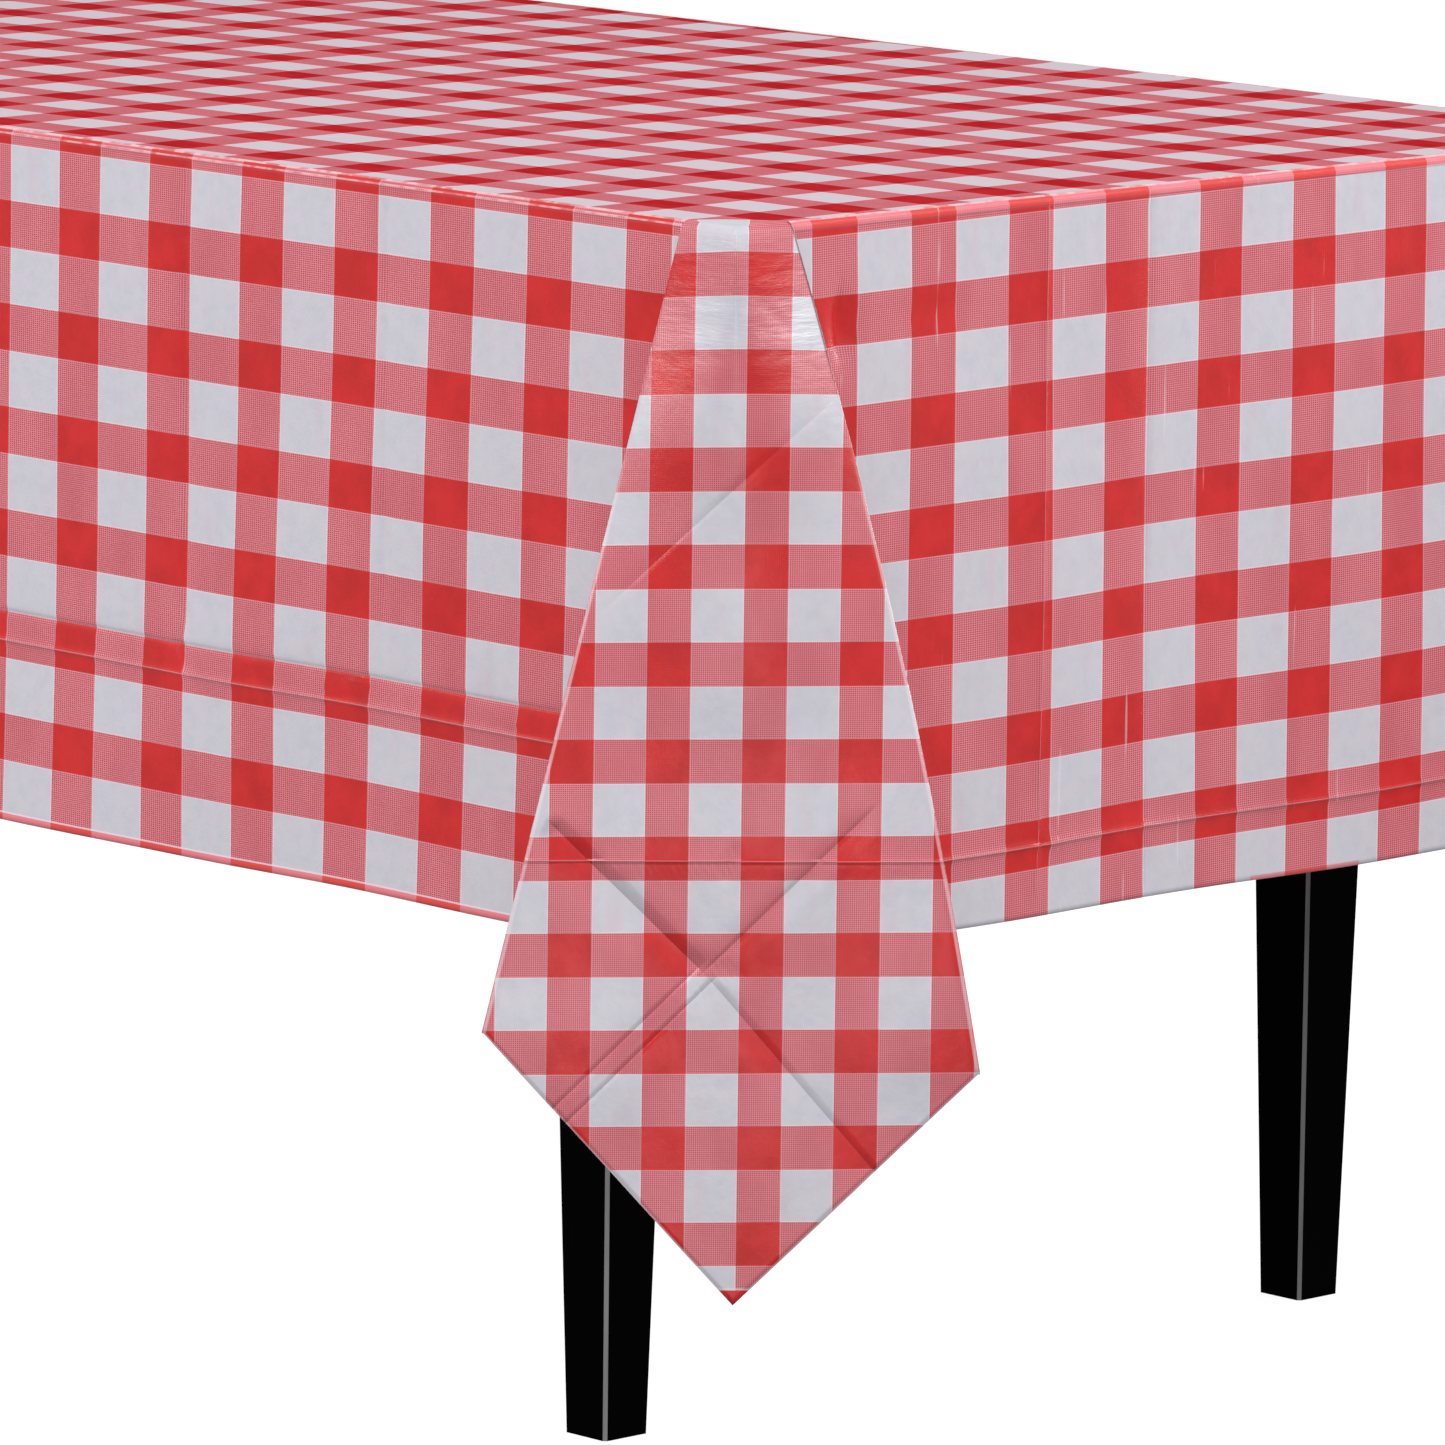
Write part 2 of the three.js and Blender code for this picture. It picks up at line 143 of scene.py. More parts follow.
# Creases, in each region's own millimetres: along the face from its zero, and height over the
# floor; on an ear, sideways from its middle, and height over the floor.
CREASES = [
    Crease("front", (-1800, 459.5), (-140, 459.5), -0.9, 5, sharp=-0.7, fine=(3, 1.6)),
    Crease("front", (-1800, 443), (-140, 441), 1.0, 5, sharp=0.7, fine=(2, 2.4)),
    Crease("front", (-484, 762), (-484, 470), -2.0, 8),
    Crease("front", (-470, 440), (-472, 340), -2.0, 9),
    Crease("front", (-301, 750), (-300, 505), -1.2, 7),
    Crease("front", (-1090, 762), (-1092, 330), -1.2, 9),
    Crease("front", (-61, 726), (-68, 690), -3.2, 14, fade=8),
    Crease("front", (-210, 452), (-168, 446), 1.6, 5),
    Crease("front", (-350, 447), (-318, 456), 1.8, 5),
    Crease("front", (-424, 452), (-404, 470), 1.4, 5, fade=8),
    Crease("front", (-330, 470), (-310, 449), -1.6, 5, fade=8),
    Crease("front", (-494, 466), (-478, 444), -1.6, 6, fade=8),
    Crease("right", (40, 370), (800, 374), 1.2, 5, sharp=0.8, fine=(1.8, 2.4)),
    Crease("right", (257, 756), (255, 340), 1.0, 5, sharp=0.35, fine=(1.2, 1.2)),
    Crease("right", (344, 756), (349, 330), -1.2, 6, sharp=-0.35, fine=(1.5, 1.5)),
    Crease("right", (540, 750), (538, 350), 0.8, 8),
    Crease("right", (286, 650), (308, 540), 0.8, 4),
    Crease("right", (84, 716), (88, 678), -5.0, 13),
    Crease("right", (20, 690), (200, 702), -1.2, 14),
    Crease("right", (248, 388), (272, 366), 1.8, 6, fade=8),
    Crease("back", (40, 380), (1790, 380), 1.4, 6),
    Crease("back", (610, 756), (612, 330), -1.4, 8),
    Crease("back", (1220, 756), (1222, 330), 1.4, 8),
    Crease("left", (40, 380), (760, 382), 1.4, 6),
    Crease("left", (270, 756), (272, 330), -1.4, 8),
    Crease("left", (540, 756), (538, 330), 1.4, 8),
]
CREASES += [
    Crease("ear", (-150, TOP_Z - 373), (150, TOP_Z - 369), 1.1, 5, sharp=0.85, fine=(1.6, 2.4),
           fade=4),
    Crease("ear", (-103, TOP_Z - 351), (-15, TOP_Z - 436), -1.8, (13, 30), sharp=-2.8,
           fine=(8, 24), fade=12),
    Crease("ear", (-10, TOP_Z - 441), (95, TOP_Z - 562), -0.8, (10, 18), sharp=-1.1,
           fine=(5, 14), fade=12),
    Crease("ear", (-122, TOP_Z - 541), (-16, TOP_Z - 434), -0.9, 5, sharp=-0.8, fine=(3, 3)),
    Crease("ear", (-114, TOP_Z - 549), (-8, TOP_Z - 442), -0.9, 5, sharp=-0.8, fine=(3, 3)),
    Crease("ear", (-12, TOP_Z - 436), (80, TOP_Z - 343), -1.5, 9, sharp=-0.8, fine=(3, 3),
           fade=24),
    Crease("ear", (40, TOP_Z - 116), (-62, TOP_Z - 213), -0.6, 6, sharp=-0.5, fine=(3, 5),
           fade=70),
    Crease("ear", (-22, TOP_Z - 425), (10, TOP_Z - 436), -1.4, 7, fade=8),
    Crease("ear", (6, TOP_Z - 362), (-4, TOP_Z - 376), -1.6, 6, fade=5),
    Crease("ear", (-30, TOP_Z - 68), (45, TOP_Z - 68), 0.7, 4, fade=8),
    Crease("ear", (-20, TOP_Z - 35), (45, TOP_Z - 36), 0.6, 4, fade=8),
    Crease("ear", (8, TOP_Z - 36), (32, TOP_Z - 62), -0.8, 4, fade=6),
    Crease("ear", (-30, TOP_Z - 50), (10, TOP_Z - 52), 0.5, 4, fade=8),
    Crease("ear", (-26, TOP_Z - 84), (34, TOP_Z - 80), 0.5, 5, fade=8),
]


def pressed(region, a, b):
    return sum((c.rise(a, b) for c in CREASES if c.region == region), np.zeros_like(a, float))


# ---------------------------------------------------------------- the sheet


class Sheet:
    """Patches of one sheet. Points that patches share are joined when the mesh is made."""

    def __init__(self):
        self.points, self.lay, self.faces, self.regions = [], [], [], []
        self.count = 0

    def put(self, points, lay):
        first = self.count
        self.points.append(np.reshape(points, (-1, 3)))
        self.lay.append(np.reshape(lay, (-1, 4)))
        self.count += len(self.points[-1])
        return first

    def face(self, corners, region):
        self.faces.append(corners)
        self.regions.append(region)

    def grid(self, points, lay, region):
        rows, columns = points.shape[:2]
        first = self.put(points, lay)
        for i in range(rows - 1):
            for j in range(columns - 1):
                a = first + i * columns + j
                self.face((a, a + 1, a + columns + 1, a + columns), region)

    def bridge(self, points_a, lay_a, at_a, points_b, lay_b, at_b, region):
        """Triangles between two lines of points, each with its places along the seam."""
        a, b = self.put(points_a, lay_a), self.put(points_b, lay_b)
        i = j = 0
        while i < len(at_a) - 1 or j < len(at_b) - 1:
            step_a = j == len(at_b) - 1 or (i < len(at_a) - 1 and at_a[i + 1] <= at_b[j + 1])
            if step_a:
                self.face((a + i, a + i + 1, b + j), region)
                i += 1
            else:
                self.face((a + i, b + j + 1, b + j), region)
                j += 1

    def mesh(self, name):
        points = np.concatenate(self.points)
        lay = np.concatenate(self.lay)
        keys, joined = np.unique(np.round(points, 3), axis=0, return_inverse=True)
        joined = joined.ravel()
        mesh = bpy.data.meshes.new(name)
        faces, corners, regions = [], [], []
        for face, region in zip(self.faces, self.regions):
            kept = []
            for corner in face:
                if joined[corner] not in [joined[k] for k in kept]:
                    kept.append(corner)
            if len(kept) > 2:
                faces.append([int(joined[k]) for k in kept])
                corners += kept
                regions += [region] * len(kept)
        mesh.from_pydata((keys * MM).tolist(), [], faces)
        spots = lay[corners]
        lay_map = mesh.uv_layers.new(name="Lay")
        shift = np.array([lay_shift(region) for region in regions])
        flat = np.stack([spots[:, 0] + shift, spots[:, 1]], axis=1) * MM
        lay_map.data.foreach_set("uv", flat.astype(np.float32).ravel())
        edge_map = mesh.uv_layers.new(name="Edges")
        edge_map.data.foreach_set("uv", (spots[:, 2:] * MM).astype(np.float32).ravel())
        spots = spots[:, :2]
        check_map = mesh.uv_layers.new(name="Check")
        check = np.zeros_like(spots)
        names = np.array(regions)
        for region in REGIONS:
            chosen = names == region
            check[chosen] = check_of(region, spots[chosen])
        check_map.data.foreach_set("uv", check.astype(np.float32).ravel())
        sizes = np.cumsum([0] + [len(face) for face in faces[:-1]])
        mesh.polygons.foreach_set("material_index", (names[sizes] == "top").astype(np.int32))
        return mesh


# The printed check: a white band is centred on each whole number. Each region has the place of
# one white square's centre, and the steps to the next square along and across.
CHECKS = {
    "top": ((-403.3, 198.9), (81.7, 3.3), (-2.5, 65.4)),
    "front": ((-116.7, 670.2), (84.9, 0), (1.3, 64.4)),
    "right": ((121.5, 667.8), (81.3, 0.8), (-0.8, 66.0)),
    "back": ((113.0, 670.2), (84.9, 0), (0, 64.4)),
    "left": ((121.5, 667.8), (81.3, 0), (0, 66.0)),
    "ear": ((-7.8, TOP_Z - 55.5), (55.9, 1.1), (0, 57.1)),
}


def check_of(region, spots):
    centre, across, up = CHECKS[region]
    steps = np.array([across, up], float).T
    return np.linalg.solve(steps, (spots - np.array(centre)).T).T


FACES = [
    {"name": "front", "along": (1, 0), "out": (0, -1), "half": HALF_X, "from_middle": HALF_Y,
     "zero": HALF_X},
    {"name": "right", "along": (0, 1), "out": (1, 0), "half": HALF_Y, "from_middle": HALF_X,
     "zero": -HALF_Y},
    {"name": "back", "along": (-1, 0), "out": (0, 1), "half": HALF_X, "from_middle": HALF_Y,
     "zero": -HALF_X},
    {"name": "left", "along": (0, -1), "out": (-1, 0), "half": HALF_Y, "from_middle": HALF_X,
     "zero": -HALF_Y},
]
for face in FACES:
    face["along"] = np.array([*face["along"], 0.0])
    face["out"] = np.array([*face["out"], 0.0])
DOWN = np.array([0, 0, -1.0])

# Lines of the grid, measured in from a corner of the top: symmetrical, so that the line from
# one fold to the other crosses them at their meetings.
CORNER_SPAN = EAR_REACH - BEND
CORNER_STEPS = np.array([0, 2.5, 6, 12, CORNER_SPAN / 2, CORNER_SPAN - 12, CORNER_SPAN - 6,
                         CORNER_SPAN - 2.5, CORNER_SPAN])


def spread(low, high, step, fine):
    """Places from low to high, about step apart, with closer ones around those in fine."""
    places = list(np.linspace(low, high, max(2, round((high - low) / step)) + 1))
    near = [f + shift for f in fine for shift in (-5.5, -3, -1.4, 0, 1.4, 3, 5.5)]
    near = [p for p in near if low + 2 < p < high - 2]
    places = [p for p in places if p in (low, high) or all(abs(p - n) > step / 3 for n in near)]
    return np.array(sorted(set(places + near)))


def edge_lines(half, step, fine, far_step=None):
    """Places across the whole top, with the corner lines at both ends."""
    end = half - EAR_REACH
    middle = spread(-end, end, step, fine)
    if far_step:
        far = spread(-end, 0, far_step, [])
        middle = np.concatenate([far[:-1], middle[middle > step / 2]])
    corner = half - BEND - CORNER_STEPS
    return np.concatenate([-corner[:-1], middle, corner[:-1][::-1]])


LINES_X = edge_lines(HALF_X, 15, [HALF_X - 484, HALF_X - 301, HALF_X - 190, HALF_X - 334], 38)
LINES_Y = edge_lines(HALF_Y, 14, [256 - HALF_Y, 346 - HALF_Y, 85 - HALF_Y])


def bend_rows():
    """(part of the quarter turn, depth) of each row over the edge."""
    angles = np.linspace(0, math.pi / 2, BEND_STEPS + 1)
    return [(a, BEND * (1 - math.cos(a))) for a in angles]


def rim(along, angle, seed):
    """Height of the wrinkled double bead of film along a table edge."""
    bead = np.exp(-(((angle - 0.5) / 0.35) ** 2)) + 0.7 * np.exp(-(((angle - 1.25) / 0.2) ** 2))
    uneven = 0.75 + 0.35 * waves(along, along * 0, 60, seed)
    return 0.55 * bead * uneven


def drop_depths(fine, step):
    """Depths of a drop's rows under the bend, with closer ones at the hem."""
    straight = spread(BEND, DROP - HEM - 1, step, fine)
    return np.concatenate([straight, DROP - np.array([HEM + 0.3, HEM - 0.3, HEM / 2, 0])])


def valley_reach(depth):
    """How far the end of a drop is from the table's corner, at this depth."""
    return EAR_REACH + (VALLEY_REACH - EAR_REACH) * smooth(depth / DROP)


def drop_points(face, columns, angle, depth, seed):
    """One row of a drop, at this turn over the edge and depth; columns are from the middle."""
    end = face["half"] - EAR_REACH
    lean = np.clip((np.abs(columns) - (end - 160)) / 160, 0, 1) ** 2
    places = columns + np.sign(columns) * lean * (EAR_REACH - valley_reach(depth))
    height = TOP_Z - depth
    lay = np.stack([places - face["zero"], places * 0 + height, places * 0 + DROP - depth,
                    places * 0 + depth], axis=1)
    clear = smooth((end + 20 - np.abs(columns)) / 40)
    low = smooth(depth / DROP)
    out = pressed(face["name"], lay[:, 0], lay[:, 1])
    out = out + 0.9 * waves(places, places * 0 + depth, 260, seed) * smooth(depth / 60)
    out = out + 1.6 * low * waves(places, places * 0 + depth * 0.2, 330, seed + 1)
    out = out * clear * smooth((depth - BEND) / 12)
    turned = (1 - math.sin(angle)) * BEND
    bead = rim(places, angle, seed + 2) * clear if angle < math.pi / 2 else 0
    sideways = out - turned + bead * math.sin(angle)
    rise = bead * math.cos(angle)
    sag = 0.8 * low * waves(places, places * 0, 240, seed + 3) * clear
    outward = (face["from_middle"] + sideways)[:, None] * face["out"]
    points = places[:, None] * face["along"] + outward
    points[:, 2] = height + rise - sag
    return points, lay


def add_drop(sheet, face, seed, fine_rows, row_step):
    """Adds one drop, and returns its depths and its two ends for the ears to join."""
    lines = LINES_X if abs(face["along"][0]) else LINES_Y
    end = face["half"] - EAR_REACH
    columns = lines[np.abs(lines) <= end + 0.01]
    rows = bend_rows()[:-1] + [(math.pi / 2, d) for d in drop_depths(fine_rows, row_step)]
    made = [drop_points(face, columns, angle, depth, seed) for angle, depth in rows]
    points = np.array([m[0] for m in made])
    points[0] = columns[:, None] * face["along"] + (face["from_middle"] - BEND) * face["out"]
    points[0, :, 2] = TOP_Z
    lay = np.array([m[1] for m in made])
    sheet.grid(points, lay, face["name"])
    return {"depths": np.array([depth for _, depth in rows]),
            "low": (points[:, 0], lay[:, 0]), "high": (points[:, -1], lay[:, -1])}


def add_top(sheet):
    """Adds the top. Its four corner triangles belong to the ears, with their print."""
    x, y = np.meshgrid(LINES_X, LINES_Y)
    inner_x, inner_y = HALF_X - BEND - np.abs(x), HALF_Y - BEND - np.abs(y)
    inside = smooth(np.minimum(inner_x, inner_y) / 14)
    z = TOP_Z - 0.25 * (1 + waves(x, y, 300, 5)) * inside
    diagonal = np.abs(inner_x + inner_y - CORNER_SPAN)
    at_fold = (inner_x <= CORNER_SPAN) & (inner_y <= CORNER_SPAN)
    z = z + 0.8 * np.exp(-((diagonal / 4) ** 2)) * at_fold * inside
    points = np.stack([x, y, z], axis=2)
    lay = np.stack([x - HALF_X, y + HALF_Y, x * 0 + FAR, np.minimum(inner_x, inner_y)], axis=2)
    rows, columns = x.shape
    first = sheet.put(points, lay)
    for i in range(rows - 1):
        for j in range(columns - 1):
            a = first + i * columns + j
            quad = (a, a + 1, a + columns + 1, a + columns)
            middle = points[i:i + 2, j:j + 2].reshape(-1, 3).mean(0)
            reach = inner_x[i:i + 2, j:j + 2].mean() + inner_y[i:i + 2, j:j + 2].mean()
            in_corner = (inner_x[i:i + 2, j:j + 2].max() <= CORNER_SPAN + 0.01
                         and inner_y[i:i + 2, j:j + 2].max() <= CORNER_SPAN + 0.01)
            if not in_corner or reach > CORNER_SPAN * 1.3:
                sheet.face(quad, "top")
                continue
            number = corner_number(middle)
            spots = points[i:i + 2, j:j + 2].reshape(-1, 3)[[0, 1, 3, 2]]
            reaches = [inner_x[i, j] + inner_y[i, j], inner_x[i, j + 1] + inner_y[i, j + 1],
                       inner_x[i + 1, j + 1] + inner_y[i + 1, j + 1],
                       inner_x[i + 1, j] + inner_y[i + 1, j]]
            own = sheet.put(spots, corner_lay(CORNERS[number], spots))
            for pieces in cut_quad(reaches):
                if np.mean([reaches[k] for k in pieces]) < CORNER_SPAN - 0.01:
                    sheet.face(tuple(own + k for k in pieces), "ear")
                else:
                    sheet.face(tuple(quad[k] for k in pieces), "top")


def cut_quad(reaches):
    """The quad in one, or cut in two where the fold line crosses it from corner to corner."""
    on_line = [k for k in range(4) if abs(reaches[k] - CORNER_SPAN) < 0.05]
    if on_line == [0, 2]:
        return [(0, 1, 2), (0, 2, 3)]
    if on_line == [1, 3]:
        return [(0, 1, 3), (1, 2, 3)]
    return [(0, 1, 2, 3)]


# The four ears, each between the end of one face and the start of the next. left and right are the
# ends of its two folds and tip is its tip: sideways from its middle, and below the top. bow is how
# far each fold bulges, and columns and rows are the steps of its mesh.
EARS = [
    {"left": (-141, 472), "right": (147, 492), "tip": (6, 630), "bow": (0, 34), "columns": 64,
     "rows": 128},
    {"left": (-146, 486), "right": (142, 476), "tip": (-4, 629), "bow": (20, 6), "columns": 32,
     "rows": 60},
    {"left": (-143, 478), "right": (145, 486), "tip": (3, 628), "bow": (6, 22), "columns": 32,
     "rows": 60},
    {"left": (-145, 488), "right": (141, 474), "tip": (-5, 630), "bow": (24, 2), "columns": 32,
     "rows": 60},
]
CORNERS = []
for number, ear in enumerate(EARS):
    before, after = FACES[number], FACES[(number + 1) % 4]
    CORNERS.append({
        "number": number, "ear": ear, "before": before, "after": after,
        "place": before["along"] * before["half"] + before["out"] * before["from_middle"]
        - DOWN * TOP_Z,
        "side": (before["along"] + after["along"]) / math.sqrt(2),
        "out": (before["out"] + after["out"]) / math.sqrt(2),
    })
SEEN_TILT = 0.163  # the print on an ear runs level to a viewer a little above it


def corner_number(point):
    """The number of the table corner nearest to this point."""
    distances = [np.hypot(*(corner["place"] - point)[:2]) for corner in CORNERS]
    return int(np.argmin(distances))


def corner_lay(corner, points):
    """Where points near a table corner lie on that corner's ear."""
    rel = points - corner["place"]
    far = np.full(len(rel), FAR)
    return np.stack([rel @ corner["side"], TOP_Z + rel[:, 2] - SEEN_TILT * (rel @ corner["out"]),
                     far, far], axis=1)


def ear_points(corner, across, angle, share, seed):
    """One row of an ear. across runs from -1 at its left fold to 1 at its right one."""
    ear = corner["ear"]
    left, right, tip = ear["left"], ear["right"], ear["tip"]
    to_right = across > 0
    part = np.abs(across)
    hem_u = np.where(to_right, right[0], left[0]) - tip[0]
    hem_d = np.where(to_right, right[1], left[1]) - tip[1]
    end_u = tip[0] + hem_u * part
    end_d = tip[1] + hem_d * part
    if angle < math.pi / 2:
        depth = across * 0 + BEND * (1 - math.cos(angle))
    else:
        depth = BEND + (end_d - BEND) * share
    down = depth / end_d
    top_u = EAR_REACH / math.sqrt(2) * across
    bow = np.where(to_right, ear["bow"][1], -ear["bow"][0]) * part ** 2
    u = top_u * (1 - down) + end_u * down + bow * down * (1 - down)
    middle_v = EAR_OUT * (1 - np.exp(-depth / 12)) + EAR_LEAN * depth
    fold_depth = np.where(to_right, right[1], left[1])
    fold_end_v = EAR_OUT + EAR_LEAN * fold_depth - 2
    start_v = -EAR_REACH / math.sqrt(2)
    fold_share = 1 - (1 - np.clip(depth / fold_depth, 0, 1)) ** 1.3
    edge_v = start_v + (fold_end_v - start_v) * fold_share
    power = 1 + smooth(depth / 130) * 0.9
    v = middle_v + (edge_v - middle_v) * part ** power
    height = TOP_Z - depth
    lay_v = height - SEEN_TILT * v
    calm = smooth((depth - BEND) / 20)
    v = v + pressed("ear", u, height) * calm * (0.25 + 0.75 * smooth((1 - part) * 7))
    v = v + 1.3 * waves(u, depth, 170, seed) * calm
    turned = (1 - math.sin(angle)) * BEND
    before, after = corner["before"]["out"], corner["after"]["out"]
    near = (1 - part)[:, None]
    over = np.where(to_right[:, None], after + near * before, before + near * after)
    points = corner["place"] + u[:, None] * corner["side"] + v[:, None] * corner["out"]
    points = points + depth[:, None] * DOWN - turned * over
    from_hem = np.abs((u - tip[0]) * hem_d - (depth - tip[1]) * hem_u) / np.hypot(hem_u, hem_d)
    from_fold = np.minimum(u[-1] - u, u - u[0])
    return points, np.stack([u, lay_v, from_hem, from_fold], axis=1), depth


def add_ear(sheet, corner, drops):
    """Adds one ear, with the turn and the layer under it at both of its edges."""
    ear, seed = corner["ear"], 40 + corner["number"]
    steps = CORNER_STEPS / CORNER_SPAN
    top_across = np.concatenate([-steps[::-1], steps[1:]])
    across = np.linspace(-1, 1, ear["columns"] + 1)
    shares = np.linspace(0, 1, ear["rows"] + 1)
    rows = [(angle, 0) for angle, _ in bend_rows()[1:-1]] + [(math.pi / 2, s) for s in shares]
    made = [ear_points(corner, across, angle, share, seed) for angle, share in rows]
    points, lay = np.array([m[0] for m in made]), np.array([m[1] for m in made])
    depths = np.array([m[2] for m in made])
    sheet.grid(points, lay, "ear")
    top_points, _, _ = ear_points(corner, top_across, 0, 0, seed)
    top_points[:, 2] = TOP_Z
    top_lay = corner_lay(corner, top_points)
    sheet.bridge(top_points, top_lay, top_across, points[0], lay[0], across, "ear")
    for side in (-1, 1):
        add_fold(sheet, corner, side, points, lay, depths, drops, top_points)


def add_fold(sheet, corner, side, points, lay, depths, drops, top_points):
    """The turn at one edge of an ear, and the layer under it, back to the drop's end."""
    column, inner = (-1, -2) if side > 0 else (0, 1)
    edge, inside = points[:, column], points[:, inner]
    edge_depth = depths[:, column]
    share = edge_depth / edge_depth[-1]
    outward = corner["out"]
    tangent = edge - inside
    tangent[:, 2] = 0
    tangent /= np.linalg.norm(tangent, axis=1)[:, None]
    normal = side * np.cross(tangent, DOWN) * -1
    normal = normal * np.sign(normal @ outward)[:, None]
    radius = (0.2 + 1.3 * smooth(share * 1.6))[:, None]
    drop = drops[corner["after" if side > 0 else "before"]["name"]]
    drop_end_points, _ = drop["low"] if side > 0 else drop["high"]
    target_depth = share * DROP
    target = np.stack([np.interp(target_depth, drop["depths"], drop_end_points[:, k])
                       for k in range(3)], axis=1)
    rows = [edge]
    for part in FOLD_TURN:
        angle = part * math.pi
        rows.append(edge + radius * (math.sin(angle) * tangent - (1 - math.cos(angle)) * normal))
    start = rows[-1]
    reach = np.linalg.norm(target - start, axis=1)[:, None]
    slack = UNDER_SLACK * smooth(share)[:, None]
    first = start - tangent * reach * 0.35 - outward * slack
    second = target + (start - target) * 0.35 - outward * slack * 0.6
    for part in np.linspace(0, 1, UNDER_STEPS + 1)[1:-1]:
        keep = 1 - part
        rows.append(keep ** 3 * start + 3 * keep ** 2 * part * first
                    + 3 * keep * part ** 2 * second + part ** 3 * target)
    strip = np.array(rows).transpose(1, 0, 2)
    apex = top_points[-1] if side > 0 else top_points[0]
    steps = np.linalg.norm(np.diff(strip, axis=1), axis=2)
    travelled = np.concatenate([steps[:, :1] * 0, np.cumsum(steps, axis=1)], axis=1)
    kept = np.repeat(lay[:, column, 1:3][:, None], strip.shape[1], axis=1)
    sideways = lay[:, column, 0][:, None] + side * travelled
    strip_lay = np.concatenate([sideways[..., None], kept, travelled[..., None]], axis=2)
    first_row = np.repeat(apex[None, :], strip.shape[1], axis=0)
    full = np.concatenate([first_row[None], strip])
    full_lay = np.concatenate([strip_lay[:1], strip_lay])
    sheet.grid(full, full_lay, "ear")
    last_share = np.concatenate([[0], share])
    drop_share = drop["depths"] / DROP
    end_lay = np.stack([np.interp(drop_share, last_share, full_lay[:, -1, 0]) + side * 8,
                        np.interp(drop_share, last_share, full_lay[:, -1, 1]),
                        DROP - drop["depths"], drop["depths"] * 0 + FAR], axis=1)
    sheet.bridge(full[:, -1], full_lay[:, -1], last_share, drop_end_points, end_lay,
                 drop_share, "ear")


# Heights of each drop's level creases, where its rows are close, and the step of its other rows.
LEVEL_CREASES = {"front": [459.5, 442], "right": [371], "back": [380], "left": [380]}
ROW_STEPS = {"front": 10, "right": 10, "back": 18, "left": 18}


def make_cloth():
    sheet = Sheet()
    add_top(sheet)
    drops = {}
    for number, face in enumerate(FACES):
        name = face["name"]
        fine_rows = [TOP_Z - height for height in LEVEL_CREASES[name]]
        drops[name] = add_drop(sheet, face, 10 + 5 * number, fine_rows, ROW_STEPS[name])
    for corner in CORNERS:
        add_ear(sheet, corner, drops)
    mesh = sheet.mesh("cloth")
    cloth = bpy.data.objects.new("cloth", mesh)
    bpy.context.scene.collection.objects.link(cloth)
    face_the_same_way(mesh)
    for polygon in mesh.polygons:
        polygon.use_smooth = True
    mesh.set_sharp_from_angle(angle=SHARP_ANGLE)
    shell = cloth.modifiers.new("film", "SOLIDIFY")
    shell.thickness = FILM * MM
    shell.offset = -1
    return cloth


def face_the_same_way(mesh):
    """Turns every face outward, so that the film's thickness goes inward."""
    made = bmesh.new()
    made.from_mesh(mesh)
    bmesh.ops.recalc_face_normals(made, faces=made.faces)
    made.faces.ensure_lookup_table()
    highest = max(made.faces, key=lambda f: f.calc_area() * abs(f.normal.z))
    if highest.normal.z < 0:
        bmesh.ops.reverse_faces(made, faces=made.faces)
    made.to_mesh(mesh)
    made.free()


# ---------------------------------------------------------------- materials


def linear(red, green, blue):
    """Linear colour from the 0 to 255 values that a screen shows."""
    channels = []
    for value in (red, green, blue):
        share = value / 255
        channels.append(share / 12.92 if share <= 0.04045 else ((share + 0.055) / 1.055) ** 2.4)
    return (*channels, 1)


